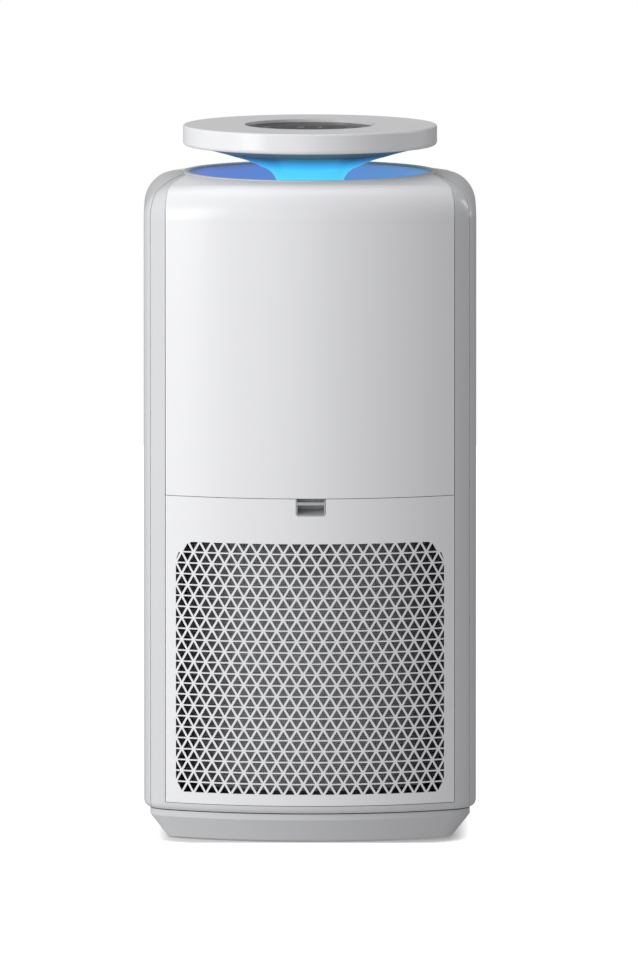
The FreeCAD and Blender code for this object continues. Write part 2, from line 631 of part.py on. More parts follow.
# fan deck with the bell-mouth inlet
deck_plate = cut("deck_plate", common("deck_blank", f_deck, box("deck_slab", -125.0, -125.0, 236.0, 125.0, 125.0, 239.0)),
                 cyl("deck_bore", 76.0, 230.0, 20.0),
                 boxes("deck_notches", [(103.7 if sx > 0 else -108.0, 67.5 if sy > 0 else -90.0, 230.0, 125.0 if sx > 0 else -103.7,
                                         90.0 if sy > 0 else -67.5, 250.0) for sx, sy in LED if False] or
                       [(103.7, 67.5, 230.0, 125.0, 90.0, 250.0), (-125.0, 67.5, 230.0, -103.7, 90.0, 250.0),
                        (103.7, -90.0, 230.0, 125.0, -67.5, 250.0), (-125.0, -90.0, 230.0, -103.7, -67.5, 250.0),
                        (-17.0, -130.0, 230.0, 18.0, -102.5, 250.0)]))
bell = revolved("bell_mouth", [(60.0, 252.5), (60.0, 250.0), (74.0, 236.0), (78.0, 236.0), (78.0, 239.0), (75.2, 239.0), (62.0, 250.6), (62.0, 252.5)],
                {1: (64.0, 240.0), 5: (65.7, 241.7)})
keeper_posts = boxes("keeper_posts", [(79.0, -87.4, 238.0, 91.0, -84.0, 248.0), (-91.0, -87.4, 238.0, -79.0, -84.0, 248.0)])
emit("fan_deck", cut("fan_deck", fuse("deck_solid", [deck_plate, bell, keeper_posts]),
                     rounds("deck_screw_holes", [(x, y, 1.8) for x, y in DS], 230.0, 12.0)))
emit("deck_screws", screws("deck_screws", DS, 3.2, 239.0, 2.4, 1.5, 229.0, 10.0))
emit("magnet_keepers", boxes("magnet_keepers", [(80.0, -89.5, 240.4, 90.0, -87.4, 247.4), (-90.0, -89.5, 240.4, -80.0, -87.4, 247.4)]))

# ---------------------------------------------------------------- air duct and outlet
emit("fan_housing", revolved("fan_housing", [(93.5, 239.0), (97.0, 239.0), (97.0, 244.0), (95.5, 244.0), (95.5, 400.0), (84.0, 436.0),
                                             (84.0, 442.0), (82.0, 442.0), (82.0, 435.4), (93.5, 399.4)]))
emit("outlet_bowl", revolved("outlet_bowl", [(63.0, 442.0), (84.0, 442.0), (84.0, 444.0), (70.5, 444.0), (88.4, 472.0), (88.4, 474.9),
                                             (86.8, 474.9), (67.0, 446.0), (63.0, 446.0)],
                             {3: (82.0, 456.0), 6: (79.8, 458.2)}))
emit("top_rim", revolved("top_rim", [(88.7, 472.1), (91.7, 472.1), (91.7, 476.0), (91.1, 476.6), (87.5, 476.6), (86.9, 476.0),
                                     (86.9, 475.0), (88.7, 475.0)]))
hub = revolved("guard_hub", [(7.6, 438.0), (33.0, 438.0), (33.0, 444.0), (31.2, 444.0), (31.2, 440.5), (25.3, 440.5), (25.3, 444.0), (7.6, 444.0)])
spokes = doc.addObject("Part::Feature", "guard_spokes")
sp = []
for i in range(24):
    b = Part.makeBox(28.0, 1.5, 3.6, V(32.0, -0.75, 440.0))
    b.rotate(V(0, 0, 0), V(0, 0, 1), i * 15.0)
    sp.append(b)
spokes.Shape = Part.makeCompound(sp)
spokes.Placement = Placement(V(0, 0, 0), Rotation())
emit("outlet_guard", fuse("outlet_guard", [hub, spokes,
                                           revolved("guard_ring_a", [(41.0, 440.4), (42.6, 440.4), (42.6, 443.2), (41.0, 443.2)]),
                                           revolved("guard_ring_b", [(50.0, 440.4), (51.6, 440.4), (51.6, 443.2), (50.0, 443.2)]),
                                           revolved("guard_rim", [(59.0, 440.0), (62.8, 440.0), (62.8, 446.0), (61.2, 446.0), (59.0, 443.6)])]))
emit("led_board", revolved("led_board", [(25.6, 440.5), (30.9, 440.5), (30.9, 441.7), (25.6, 441.7)]))
leds = doc.addObject("Part::Feature", "status_leds")
ld = []
for i in range(12):
    b = Part.makeBox(3.0, 2.6, 0.9, V(26.8, -1.3, 441.7))
    b.rotate(V(0, 0, 0), V(0, 0, 1), i * 30.0)
    ld.append(b)
leds.Shape = Part.makeCompound(ld)
leds.Placement = Placement(V(0, 0, 0), Rotation())
emit("status_leds", leds)
emit("light_ring", revolved("light_ring", [(25.6, 443.0), (30.9, 443.0), (30.9, 445.6), (30.0, 446.5), (26.4, 446.5), (25.6, 445.6)]))

# ---------------------------------------------------------------- head
emit("light_cone", revolved("light_cone", [(23.2, 444.0), (23.4, 462.0), (34.5, 479.6), (56.0, 487.5), (61.8, 489.3),
                                           (61.8, 491.4), (55.4, 489.5), (33.4, 481.3), (21.4, 462.0), (21.2, 444.0)],
                            {1: (25.6, 472.7), 2: (44.6, 484.0), 6: (43.9, 485.9), 7: (23.9, 473.8)}))
emit("disc_underside", revolved("disc_underside", [(62.0, 489.4), (89.3, 496.6), (89.3, 498.5), (62.0, 491.4)]))
bosses = [(53.0, 0.0), (0.0, 53.0), (-53.0, 0.0), (0.0, -53.0)]
disc_blank = revolved("disc_blank", [(47.0, 510.0), (90.2, 510.0), (91.7, 508.5), (91.7, 498.0), (89.6, 495.3), (89.5, 495.3),
                                     (89.5, 507.6), (49.2, 507.6), (49.2, 504.2), (42.5, 504.2), (42.5, 506.0), (47.0, 506.0)],
                      {1: (91.26, 509.56), 3: (91.08, 496.3)})
emit("disc_top", cut("disc_top", fuse("disc_bossed", [disc_blank, rounds("disc_bosses", [(x, y, 3.4) for x, y in bosses], 499.0, 9.0)]),
                     rounds("disc_boss_holes", [(x, y, 1.3) for x, y in bosses], 498.0, 8.4)))
emit("neck_tube", cut("neck_tube", revolved("neck_blank", [(7.6, 444.0), (10.0, 444.0), (10.0, 493.0), (14.0, 497.0), (58.0, 497.0), (58.0, 499.0), (7.6, 499.0)]),
                      rounds("neck_holes", [(x, y, 1.4) for x, y in bosses], 495.0, 6.0)))
emit("disc_screws", screws("disc_screws", bosses, 2.8, 494.8, 2.2, 1.3, 497.0, 8.8))
emit("control_glass", revolved("control_glass", [(0.0, 506.0), (46.6, 506.0), (46.6, 507.6), (46.2, 508.0), (0.0, 508.0)]))
emit("control_board", fuse("control_board", [cyl("control_disc", 41.5, 501.0, 1.6),
                                             rounds("control_posts", [(30.0, 0.0, 2.2), (-30.0, 0.0, 2.2), (0.0, 30.0, 2.2), (0.0, -30.0, 2.2)], 499.0, 2.2)]))
emit("touch_pads", rounds("touch_pads", [(-31.7, 0.0, 2.6), (-7.0, 0.0, 2.6), (7.0, 0.0, 2.6), (28.8, 0.0, 2.6), (38.3, 0.0, 2.6)], 502.6, 3.4))

# ---------------------------------------------------------------- fan
shroud = revolved("impeller_shroud", [(63.6, 252.0), (65.0, 252.0), (65.0, 256.2), (84.0, 262.0), (84.0, 263.4), (63.6, 257.6)])
back = revolved("impeller_back", [(4.0, 290.0), (12.0, 290.0), (12.0, 304.0), (30.0, 316.0), (84.0, 316.0), (84.0, 318.0), (4.0, 318.0)])
blades = doc.addObject("Part::Feature", "impeller_blades")
bl = []
zone_b = Part.Face(Part.makePolygon([V(48, 0, 260), V(62, 0, 257), V(64, 0, 257), V(84, 0, 262.8), V(84, 0, 317), V(48, 0, 317), V(48, 0, 260)])).revolve(V(0, 0, 0), V(0, 0, 1), 360)
for i in range(11):
    pts_o, pts_i = [], []
    for k in range(7):
        f = k / 6.0
        r, a = 50.0 + 33.8 * f, math.radians(-34.0 * f)
        nx, ny = -math.sin(a - 0.55), math.cos(a - 0.55)
        pts_o.append(V(r * math.cos(a) + 0.8 * nx, r * math.sin(a) + 0.8 * ny, 250))
        pts_i.append(V(r * math.cos(a) - 0.8 * nx, r * math.sin(a) - 0.8 * ny, 250))
    so, si = Part.BSplineCurve(), Part.BSplineCurve()
    so.interpolate(pts_o)
    si.interpolate(pts_i)
    w = Part.Wire([so.toShape(), Part.makeLine(pts_o[-1], pts_i[-1]), si.toShape(), Part.makeLine(pts_i[0], pts_o[0])])
    b = Part.Face(w).extrude(V(0, 0, 70)).common(zone_b)
    b.rotate(V(0, 0, 0), V(0, 0, 1), i * 360.0 / 11)
    bl.append(b)
blades.Shape = Part.makeCompound(bl)
blades.Placement = Placement(V(0, 0, 0), Rotation())
emit("impeller", fuse("impeller", [back, shroud, blades], False))
emit("motor_shaft", cyl("motor_shaft", 4.0, 284.0, 62.0))
hexp = [(7.0 * math.cos(math.radians(60 * i + 30)), 7.0 * math.sin(math.radians(60 * i + 30))) for i in range(6)]
nut_body = padded("nut_blank", hexp, 284.6, 5.4)
emit("impeller_nut", cut("impeller_nut", nut_body, cyl("nut_bore", 4.0, 280.0, 15.0)))
MS = [(20.0 * math.cos(math.radians(a)), 20.0 * math.sin(math.radians(a))) for a in (90, 210, 330)]
emit("motor", cut("motor", revolved("motor_can", [(4.06, 324.0), (9.0, 324.0), (9.0, 327.0), (30.0, 327.0), (31.0, 328.0), (31.0, 372.0), (30.0, 373.0), (0.0, 373.0), (0.0, 348.0), (4.06, 348.0)]),
                  rounds("motor_holes", [(x, y, 1.5) for x, y in MS], 364.0, 12.0)))
damp = [cut("damper_%d" % i, cyl("damper_out_%d" % i, 5.0, 373.0, 3.0, x, y), cyl("damper_in_%d" % i, 1.6, 370.0, 10.0, x, y)) for i, (x, y) in enumerate(MS)]
dc = doc.addObject("Part::Compound", "motor_dampers")
dc.Links = damp
emit("motor_dampers", dc)
emit("motor_screws", screws("motor_screws", MS, 3.2, 378.4, 2.4, 1.5, 366.0, 12.4))
vanes = doc.addObject("Part::Feature", "stator_vanes")
vn = []
for i in range(9):
    b = Part.makeBox(59.0, 1.8, 40.0, V(33.6, -0.9, 330.0))
    b.rotate(V(34, 0, 350), V(1, 0, 0), 18.0)
    b.rotate(V(0, 0, 0), V(0, 0, 1), i * 40.0)
    vn.append(b)
vanes.Shape = Part.makeCompound(vn)
vanes.Placement = Placement(V(0, 0, 0), Rotation())
cup = revolved("motor_cup", [(32.0, 326.0), (35.0, 326.0), (35.0, 378.4), (0.0, 378.4), (0.0, 376.0), (32.0, 376.0)])
stator_rim = revolved("stator_rim", [(91.6, 326.0), (93.4, 326.0), (93.4, 374.0), (91.6, 374.0)])
emit("motor_mount", cut("motor_mount", fuse("stator_solid", [cup, vanes, stator_rim]),
                        rounds("cup_holes", [(x, y, 1.6) for x, y in MS], 374.0, 8.0)))
emit("motor_cap", revolved("motor_cap", [(33.0, 378.4), (35.0, 378.4), (35.0, 384.0), (12.0, 430.0), (9.0, 430.0), (9.0, 428.2), (11.0, 428.2), (33.0, 384.0)],
                           {2: (29.5, 410.0), 6: (27.7, 409.2)}))

# ---------------------------------------------------------------- filter cartridge
emit("filter_base_cap", revolved("filter_base_cap", [(0.0, 28.0), (94.0, 28.0), (94.0, 36.0), (92.2, 36.0), (92.2, 31.0), (0.0, 31.0)]))
pl = doc.addObject("Part::Feature", "filter_media")


def star(r_out, r_in, n, z):
    p = [V((r_out if i % 2 == 0 else r_in) * math.cos(math.pi * i / n), (r_out if i % 2 == 0 else r_in) * math.sin(math.pi * i / n), z) for i in range(2 * n)]
    return Part.makePolygon(p + [p[0]])


pleat = Part.Face(star(89.0, 66.0, 60, 31.0)).cut(Part.Face(star(84.0, 61.0, 60, 31.0)))
pl.Shape = pleat.Faces[0].extrude(V(0, 0, 195.0))
pl.Placement = Placement(V(0, 0, 0), Rotation())
emit("filter_media", pl)
emit("carbon_layer", revolved("carbon_layer", [(52.0, 31.0), (58.0, 31.0), (58.0, 226.0), (52.0, 226.0)]))
emit("prefilter_mesh", revolved("prefilter_mesh", [(90.2, 31.0), (91.8, 31.0), (91.8, 226.0), (90.2, 226.0)]))
emit("filter_top_cap", revolved("filter_top_cap", [(50.0, 226.0), (92.2, 226.0), (92.2, 221.0), (94.0, 221.0), (94.0, 230.0), (50.0, 230.0)]))
emit("filter_gasket", revolved("filter_gasket", [(79.0, 230.0), (91.0, 230.0), (91.0, 235.6), (79.0, 235.6)]))
emit("pull_tab", cut("pull_tab", box("tab_strap", -12.0, -95.9, 192.0, 12.0, -94.1, 229.0), box("tab_slot", -7.0, -98.0, 196.0, 7.0, -90.0, 206.0)))

# ---------------------------------------------------------------- electrics
sm = cut("sensor_case", box("sensor_block", 99.5, 28.0, 270.0, 114.5, 54.0, 302.0), box("sensor_chamber", 104.0, 31.0, 276.0, 116.0, 51.0, 296.0))
emit("dust_sensor", sm)
sm.Label = "dust_sensor"
emit("door_switch", box("door_switch", -60.0, -102.8, 239.0, -44.0, -92.6, 246.0))
emit("switch_plunger", box("switch_plunger", -54.0, -109.7, 240.6, -50.0, -103.2, 244.4))
sk_block = fuse("socket_block", [box("socket_body", -50.0, 101.0, 33.0, -30.0, 115.0, 47.0), box("socket_ears", -50.0, 99.0, 33.0, -30.0, 101.0, 47.0)])
figure8 = box("socket_mid", -44.3, 104.0, 36.0, -35.7, 118.0, 44.0)
s8 = doc.addObject("Part::Feature", "socket_rounds")
s8.Shape = Part.makeCompound([Part.makeCylinder(4.0, 14.0, V(-44.3, 104.0, 40.0), V(0, 1, 0)), Part.makeCylinder(4.0, 14.0, V(-35.7, 104.0, 40.0), V(0, 1, 0))])
s8.Placement = Placement(V(0, 0, 0), Rotation())
socket_shell = cut("power_inlet", sk_block, fuse("socket_form", [figure8, s8]))
emit("power_inlet", socket_shell)
pn = doc.addObject("Part::Feature", "inlet_pins")
pn.Shape = Part.makeCompound([Part.makeCylinder(1.18, 13.0, V(x, 100.5, 40.0), V(0, 1, 0)).fuse(Part.makeCylinder(1.18, 1.0, V(x, 100.0, 40.0), V(0, 1, 0))).removeSplitter().Solids[0] for x in (-44.3, -35.7)])
pn.Placement = Placement(V(0, 0, 0), Rotation())
socket_final = cut("power_inlet_shell", socket_shell, pn)
made[-1] = ("power_inlet", socket_final)
socket_shell.Label = "socket_drilled"
socket_final.Label = "power_inlet"
emit("inlet_pins", pn)

# ---------------------------------------------------------------- checks and export
doc.recompute()
bad = [o.Name for o in doc.Objects if "Invalid" in o.State or "Error" in o.State]
if bad:
    raise RuntimeError("objects in error: " + ", ".join(bad))
for name, obj in made:
    shp = obj.Shape
    if shp.isNull() or not shp.isValid() or not shp.Solids:
        raise RuntimeError("bad shape: " + name)
for name, obj in made:
    shp = obj.Shape
    if len(shp.Solids) == 1:
        shp = shp.Solids[0]
    else:
        shp = Part.makeCompound(shp.Solids)
    shp.exportStep("parts/" + name + ".step")
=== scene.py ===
import json
import math

import bpy
import bmesh
from mathutils import Vector, Matrix

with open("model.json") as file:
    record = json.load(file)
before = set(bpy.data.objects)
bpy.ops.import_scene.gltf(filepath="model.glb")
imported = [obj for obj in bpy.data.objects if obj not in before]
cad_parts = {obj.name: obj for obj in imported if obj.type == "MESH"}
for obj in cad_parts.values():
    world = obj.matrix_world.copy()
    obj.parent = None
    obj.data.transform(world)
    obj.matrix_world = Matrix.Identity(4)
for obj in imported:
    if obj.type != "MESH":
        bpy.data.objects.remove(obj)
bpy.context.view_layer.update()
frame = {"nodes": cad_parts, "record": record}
N = frame["nodes"]


# ------------------------------------------------------------------ materials
def new_mat(name):
    m = bpy.data.materials.new(name)
    m.use_nodes = True
    nt = m.node_tree
    for n in list(nt.nodes):
        nt.nodes.remove(n)
    out = nt.nodes.new("ShaderNodeOutputMaterial")
    bsdf = nt.nodes.new("ShaderNodeBsdfPrincipled")
    nt.links.new(bsdf.outputs["BSDF"], out.inputs["Surface"])
    return m, nt, bsdf


def coords(nt):
    tc = nt.nodes.new("ShaderNodeTexCoord")
    return tc.outputs["Object"]


def noise(nt, vec, scale, detail=3.0, rough=0.5):
    n = nt.nodes.new("ShaderNodeTexNoise")
    n.inputs["Scale"].default_value = scale
    n.inputs["Detail"].default_value = detail
    n.inputs["Roughness"].default_value = rough
    nt.links.new(vec, n.inputs["Vector"])
    return n.outputs["Fac"]


def ramp(nt, fac, stops):
    r = nt.nodes.new("ShaderNodeValToRGB")
    el = r.color_ramp.elements
    while len(el) > 1:
        el.remove(el[-1])
    el[0].position = stops[0][0]
    el[0].color = (*stops[0][1], 1)
    for p, c in stops[1:]:
        e = el.new(p)
        e.color = (*c, 1)
    nt.links.new(fac, r.inputs["Fac"])
    return r.outputs["Color"]


def math_node(nt, op, a, b=None, clamp=False):
    n = nt.nodes.new("ShaderNodeMath")
    n.operation = op
    n.use_clamp = clamp
    for k, v in enumerate((a, b)):
        if v is None:
            continue
        if isinstance(v, (int, float)):
            n.inputs[k].default_value = v
        else:
            nt.links.new(v, n.inputs[k])
    return n.outputs[0]


def bump(nt, height, strength, distance, normal=None):
    b = nt.nodes.new("ShaderNodeBump")
    b.inputs["Strength"].default_value = strength
    b.inputs["Distance"].default_value = distance
    nt.links.new(height, b.inputs["Height"])
    if normal is not None:
        nt.links.new(normal, b.inputs["Normal"])
    return b.outputs["Normal"]


def soft_edge(nt, radius):
    """Moulded corners catch light: the shading normal is rounded over a small radius."""
    b = nt.nodes.new("ShaderNodeBevel")
    b.samples = 4
    b.inputs["Radius"].default_value = radius
    return b.outputs["Normal"]


def shade(c, k):
    return tuple(max(0.0, min(1.0, x * k)) for x in c)


def plastic(name, color, rough=0.38, grain=900.0, grain_depth=0.00002, vary=0.03, edge=0.0006, spec=0.5, coat=0.0, sss=0.0):
    m, nt, b = new_mat(name)
    v = coords(nt)
    broad = noise(nt, v, 7.0, 2.0)
    nt.links.new(ramp(nt, broad, [(0.3, shade(color, 1 - vary)), (0.7, shade(color, 1 + vary * 0.5))]), b.inputs["Base Color"])
    fine = noise(nt, v, grain, 2.0, 0.6)
    r = nt.nodes.new("ShaderNodeMapRange")
    r.inputs["To Min"].default_value = rough - 0.05
    r.inputs["To Max"].default_value = rough + 0.06
    nt.links.new(fine, r.inputs["Value"])
    nt.links.new(r.outputs["Result"], b.inputs["Roughness"])
    nrm = soft_edge(nt, edge) if edge else None
    nt.links.new(bump(nt, fine, 0.35, grain_depth, nrm), b.inputs["Normal"])
    b.inputs["Specular IOR Level"].default_value = spec
    if coat:
        b.inputs["Coat Weight"].default_value = coat
        b.inputs["Coat Roughness"].default_value = 0.12
    if sss:
        b.inputs["Subsurface Weight"].default_value = sss
        b.inputs["Subsurface Radius"].default_value = (0.004, 0.004, 0.004)
        b.inputs["Subsurface Scale"].default_value = 1.0
    return m


def metal(name, color, rough=0.3, brush=(400.0, 400.0, 20.0)):
    m, nt, b = new_mat(name)
    v = coords(nt)
    mp = nt.nodes.new("ShaderNodeMapping")
    mp.inputs["Scale"].default_value = brush
    nt.links.new(v, mp.inputs["Vector"])
    f = noise(nt, mp.outputs["Vector"], 3.0, 4.0)
    nt.links.new(ramp(nt, f, [(0.3, shade(color, 0.85)), (0.7, shade(color, 1.05))]), b.inputs["Base Color"])
    b.inputs["Metallic"].default_value = 1.0
    r = nt.nodes.new("ShaderNodeMapRange")
    r.inputs["To Min"].default_value = rough - 0.07
    r.inputs["To Max"].default_value = rough + 0.1
    nt.links.new(f, r.inputs["Value"])
    nt.links.new(r.outputs["Result"], b.inputs["Roughness"])
    nt.links.new(bump(nt, f, 0.2, 0.00003), b.inputs["Normal"])
    return m


def weave(name, color, dark, scale, rough=0.85, depth=0.0002):
    """Woven or fibrous sheet: two crossing wave patterns."""
    m, nt, b = new_mat(name)
    v = coords(nt)
    sep = nt.nodes.new("ShaderNodeSeparateXYZ")
    nt.links.new(v, sep.inputs[0])
    ang = math_node(nt, "ARCTAN2", sep.outputs["Y"], sep.outputs["X"])
    u = math_node(nt, "SINE", math_node(nt, "MULTIPLY", ang, 0.0918 * scale))
    w = math_node(nt, "SINE", math_node(nt, "MULTIPLY", sep.outputs["Z"], scale))
    h = math_node(nt, "MAXIMUM", u, w)
    n = noise(nt, v, 1200.0)
    hh = math_node(nt, "ADD", math_node(nt, "MULTIPLY", h, 0.5), math_node(nt, "MULTIPLY", n, 0.4))
    nt.links.new(ramp(nt, hh, [(0.0, dark), (0.75, color)]), b.inputs["Base Color"])
    b.inputs["Roughness"].default_value = rough
    nt.links.new(bump(nt, hh, 0.6, depth), b.inputs["Normal"])
    return m


M = {}
M["white_shell"] = plastic("white_shell_moulded", (0.865, 0.868, 0.892), rough=0.34, grain=1400, vary=0.008, edge=0.0007, coat=0.15)
M["grey_shell"] = plastic("grey_shell_moulded", (0.69, 0.695, 0.715), rough=0.30, grain=1400, vary=0.010, edge=0.0007, coat=0.35)
M["base_grey"] = plastic("base_grey_moulded", (0.66, 0.664, 0.682), rough=0.42, grain=1300, vary=0.015, edge=0.0012)
M["pull_grey"] = plastic("pull_grey_moulded", (0.46, 0.465, 0.475), rough=0.35, grain=1600, vary=0.02, edge=0.0005)
M["disc_white"] = plastic("disc_white_moulded", (0.845, 0.848, 0.865), rough=0.30, grain=1500, vary=0.008, edge=0.0008, coat=0.2)
# Painted shade: the disc underside is the disc's white plastic given a darker blue-grey colour, standing in for the
# shade under the head and the blue spill from the glow.
UNDERSIDE_PAINTED_SHADE = plastic("disc_underside_painted_shade", (0.36, 0.43, 0.49), rough=0.55, grain=1500, vary=0.02, edge=0.0, spec=0.2)
GRILLE = plastic("inlet_grille_moulded", (0.865, 0.868, 0.892), rough=0.34, grain=1400, vary=0.008, edge=0.0, coat=0.15)
M["inner_black"] = plastic("inner_black_moulded", (0.03, 0.03, 0.032), rough=0.5, grain=800, vary=0.1, edge=0.0005)
M["inner_grey"] = plastic("inner_grey_moulded", (0.22, 0.225, 0.23), rough=0.48, grain=900, vary=0.05, edge=0.0005)
M["pcb_green"] = plastic("pcb_lacquer", (0.02, 0.13, 0.06), rough=0.28, grain=2500, vary=0.25, edge=0.0)
M["components"] = plastic("components_mixed", (0.08, 0.07, 0.055), rough=0.4, grain=300, vary=0.6, edge=0.0004)
M["steel"] = metal("steel_bright", (0.62, 0.62, 0.64), 0.28)
M["magnet"] = metal("magnet_plated", (0.72, 0.72, 0.73), 0.16, (200, 200, 200))
M["brass"] = metal("brass_bright", (0.80, 0.60, 0.28), 0.25)
M["rubber"] = plastic("rubber_black", (0.018, 0.018, 0.019), rough=0.75, grain=500, grain_depth=0.00008, vary=0.2, edge=0.0006, spec=0.3)
M["filter_paper"] = weave("filter_paper_pleated", (0.80, 0.79, 0.74), (0.66, 0.65, 0.60), 9000.0)
M["carbon"] = plastic("carbon_granules", (0.02, 0.02, 0.022), rough=0.8, grain=350, grain_depth=0.0015, vary=0.5, edge=0.0)
M["mesh_grey"] = weave("prefilter_mesh_woven", (0.52, 0.525, 0.54), (0.20, 0.20, 0.21), 4200.0, depth=0.0004)
M["strap_blue"] = weave("strap_woven", (0.36, 0.365, 0.38), (0.16, 0.16, 0.17), 6000.0)


def painted_glow_cone():
    """Translucent trumpet lit from its foot, shown with painted glow: an emission ramp by radius paints the LED light
    on it, cyan near the neck and deeper blue to dark towards the flare under the head; the base colour carries the same
    painted ramp, mixed towards dark blue.
    """
    m, nt, b = new_mat("light_cone_painted_glow")
    v = coords(nt)
    sep = nt.nodes.new("ShaderNodeSeparateXYZ")
    nt.links.new(v, sep.inputs[0])
    r = math_node(nt, "SQRT", math_node(nt, "ADD", math_node(nt, "POWER", sep.outputs["X"], 2.0), math_node(nt, "POWER", sep.outputs["Y"], 2.0)))
    t = math_node(nt, "DIVIDE", math_node(nt, "SUBTRACT", r, 0.0232), 0.0386, True)
    grain = math_node(nt, "MULTIPLY", math_node(nt, "SUBTRACT", noise(nt, v, 60.0, 2.0), 0.5), 0.05)
    tt = math_node(nt, "ADD", t, grain, True)
    # Painted light: this ramp paints the LED light falling on the trumpet, brightest at the neck and falling off
    # towards the outer flare.
    col = ramp(nt, tt, [(0.0, (0.11, 0.74, 0.98)), (0.25, (0.08, 0.60, 0.95)), (0.48, (0.045, 0.37, 0.80)), (0.65, (0.03, 0.22, 0.52)), (0.8, (0.025, 0.12, 0.27)), (0.95, (0.02, 0.08, 0.16)), (1.0, (0.02, 0.06, 0.12))])
    dark = nt.nodes.new("ShaderNodeMix")
    dark.data_type = "RGBA"
    dark.inputs[0].default_value = 0.6
    nt.links.new(col, dark.inputs[6])
    dark.inputs[7].default_value = (0.02, 0.05, 0.10, 1)
    nt.links.new(dark.outputs[2], b.inputs["Base Color"])
    # Painted glow: the trumpet is not a lamp; its emission stands in for the LED light on it.
    nt.links.new(col, b.inputs["Emission Color"])
    b.inputs["Emission Strength"].default_value = 0.85
    b.inputs["Roughness"].default_value = 0.38
    b.inputs["Specular IOR Level"].default_value = 0.3
    nt.links.new(bump(nt, noise(nt, v, 1200.0), 0.2, 0.00002), b.inputs["Normal"])
    return m


def painted_glow_bowl():
    m, nt, b = new_mat("bowl_painted_glow")
    v = coords(nt)
    sep = nt.nodes.new("ShaderNodeSeparateXYZ")
    nt.links.new(v, sep.inputs[0])
    # Painted glow: the emission and the dark blue base colour stand in for blue LED light on the bowl, ramped by height
    # and darker at the rim.
    t = math_node(nt, "DIVIDE", math_node(nt, "SUBTRACT", sep.outputs["Z"], 0.442), 0.033, True)
    grain = math_node(nt, "MULTIPLY", math_node(nt, "SUBTRACT", noise(nt, v, 40.0, 2.0), 0.5), 0.06)
    tt = math_node(nt, "ADD", t, grain, True)
    col = ramp(nt, tt, [(0.0, (0.08, 0.30, 0.80)), (0.6, (0.12, 0.30, 0.80)), (0.92, (0.14, 0.28, 0.72)), (1.0, (0.14, 0.20, 0.42))])
    body = ramp(nt, tt, [(0.0, (0.10, 0.14, 0.26)), (1.0, (0.14, 0.17, 0.26))])
    nt.links.new(body, b.inputs["Base Color"])
    # Painted light: tints the bowl's emission warmer on the left and greener on the right by object X, standing in for
    # how the light falls across it.
    across = math_node(nt, "ADD", math_node(nt, "MULTIPLY", sep.outputs["X"], 5.5), 0.5, True)
    painted_side_tint = ramp(nt, across, [(0.0, (1.12, 0.86, 1.0)), (0.5, (1.0, 1.0, 1.0)), (1.0, (1.05, 1.32, 1.02))])
    tint = nt.nodes.new("ShaderNodeMix")
    tint.data_type = "RGBA"
    tint.blend_type = "MULTIPLY"
    tint.inputs[0].default_value = 1.0
    nt.links.new(col, tint.inputs[6])
    nt.links.new(painted_side_tint, tint.inputs[7])
    nt.links.new(tint.outputs[2], b.inputs["Emission Color"])
    b.inputs["Emission Strength"].default_value = 0.74
    b.inputs["Roughness"].default_value = 0.45
    b.inputs["Specular IOR Level"].default_value = 0.3
    nt.links.new(bump(nt, noise(nt, v, 1200.0), 0.2, 0.00002), b.inputs["Normal"])
    return m


def glass_black():
    m, nt, b = new_mat("control_glass_black")
    v = coords(nt)
    sep = nt.nodes.new("ShaderNodeSeparateXYZ")
    nt.links.new(v, sep.inputs[0])

    def away(px, py):
        dx = math_node(nt, "SUBTRACT", sep.outputs["X"], px)
        dy = math_node(nt, "SUBTRACT", sep.outputs["Y"], py)
        return math_node(nt, "SQRT", math_node(nt, "ADD", math_node(nt, "MULTIPLY", dx, dx), math_node(nt, "MULTIPLY", dy, dy)))

    def ring(px, py, r, half):
        return math_node(nt, "LESS_THAN", math_node(nt, "ABSOLUTE", math_node(nt, "SUBTRACT", away(px, py), r)), half)

    def dot(px, py, r):
        return math_node(nt, "LESS_THAN", away(px, py), r)

    def bar(px, py, hx, hy):
        a = math_node(nt, "LESS_THAN", math_node(nt, "ABSOLUTE", math_node(nt, "SUBTRACT", sep.outputs["X"], px)), hx)
        c = math_node(nt, "LESS_THAN", math_node(nt, "ABSOLUTE", math_node(nt, "SUBTRACT", sep.outputs["Y"], py)), hy)
        return math_node(nt, "MULTIPLY", a, c)

    marks = None
    for k in (ring(-0.0317, 0.0, 0.0026, 0.00035), bar(-0.0317, 0.0024, 0.0003, 0.0016),
              ring(-0.007, 0.0, 0.0022, 0.0003), dot(-0.007, 0.0, 0.0008),
              bar(0.0058, 0.0, 0.0004, 0.0012), bar(0.0070, 0.0, 0.0004, 0.0019), bar(0.0082, 0.0, 0.0004, 0.0026),
              ring(0.0288, 0.0, 0.0022, 0.0003), dot(0.0383, 0.0, 0.0011),
              dot(-0.0045, 0.0105, 0.0007), dot(0.0, 0.0105, 0.0007), dot(0.0045, 0.0105, 0.0007)):
        marks = k if marks is None else math_node(nt, "MAXIMUM", marks, k)
    f = noise(nt, v, 30.0, 2.0)
    lay = nt.nodes.new("ShaderNodeMix")
    lay.data_type = "RGBA"
    nt.links.new(marks, lay.inputs[0])
    nt.links.new(ramp(nt, f, [(0.3, (0.010, 0.010, 0.012)), (0.7, (0.016, 0.016, 0.019))]), lay.inputs[6])
    lay.inputs[7].default_value = (0.55, 0.57, 0.60, 1)
    nt.links.new(lay.outputs[2], b.inputs["Base Color"])
    smear = noise(nt, v, 18.0, 4.0, 0.7)
    r = nt.nodes.new("ShaderNodeMapRange")
    r.inputs["To Min"].default_value = 0.08
    r.inputs["To Max"].default_value = 0.16
    nt.links.new(smear, r.inputs["Value"])
    nt.links.new(r.outputs["Result"], b.inputs["Roughness"])
    b.inputs["IOR"].default_value = 1.06
    b.inputs["Specular IOR Level"].default_value = 0.3
    return m


